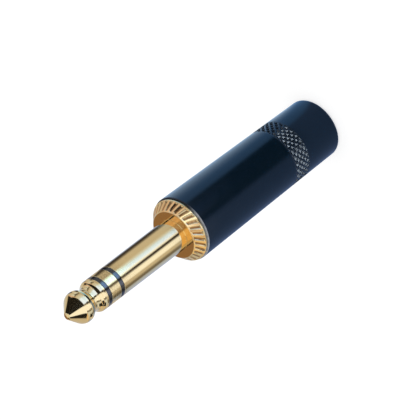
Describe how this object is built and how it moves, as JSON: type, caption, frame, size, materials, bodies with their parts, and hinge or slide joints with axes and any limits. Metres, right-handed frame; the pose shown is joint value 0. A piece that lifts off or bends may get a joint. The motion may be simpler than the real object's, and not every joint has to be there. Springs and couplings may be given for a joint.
{
  "type": "stereo jack plug",
  "caption": "Three-contact 6.35 mm jack plug with gold finger, fluted collar and a tapered, knurled black barrel that unscrews from the solder terminals.",
  "frame": {"origin": "centre of the barrel's rear face, on the plug's axis, where the cable goes in; the plug stands on that face", "axes": "+Z along the plug's axis from the cable entry to the tip; +X and +Y across it, with the sleeve terminal's strip on the -Y side"},
  "size_m": [0.013, 0.013, 0.0705],
  "materials": {
    "gold": "polished gold plating on turned brass",
    "black_insulator": "smooth black moulded plastic",
    "tinned_terminal": "bright tin on stamped brass strip",
    "liner_plastic": "milky white plastic tube",
    "black_coating": "satin blue-black coating on metal"
  },
  "bodies": {
    "barrel": {"barrel": "black_coating"},
    "liner": {"insulating_liner": "liner_plastic"},
    "plug": {"tip_contact": "gold", "tip_insulator": "black_insulator", "ring_contact": "gold", "ring_insulator": "black_insulator", "sleeve_contact": "gold", "sleeve_terminal": "tinned_terminal", "rear_bush": "black_insulator", "ring_terminal": "tinned_terminal", "terminal_washer": "black_insulator", "tip_terminal": "tinned_terminal"}
  },
  "joints": [
    {"name": "plug_unscrew", "type": "hinge", "parent": "barrel", "child": "liner", "pos_m": [0, 0, 0.0383], "axis": [0, 0, 1], "range_deg": [0, 2880]},
    {"name": "thread_travel", "type": "slide", "parent": "liner", "child": "plug", "axis": [0, 0, 1], "range_m": [0, 0.006]}
  ],
  "couplings": [
    {"joint": "thread_travel", "follows": "plug_unscrew", "m_per_rad": 0.00011937}
  ]
}
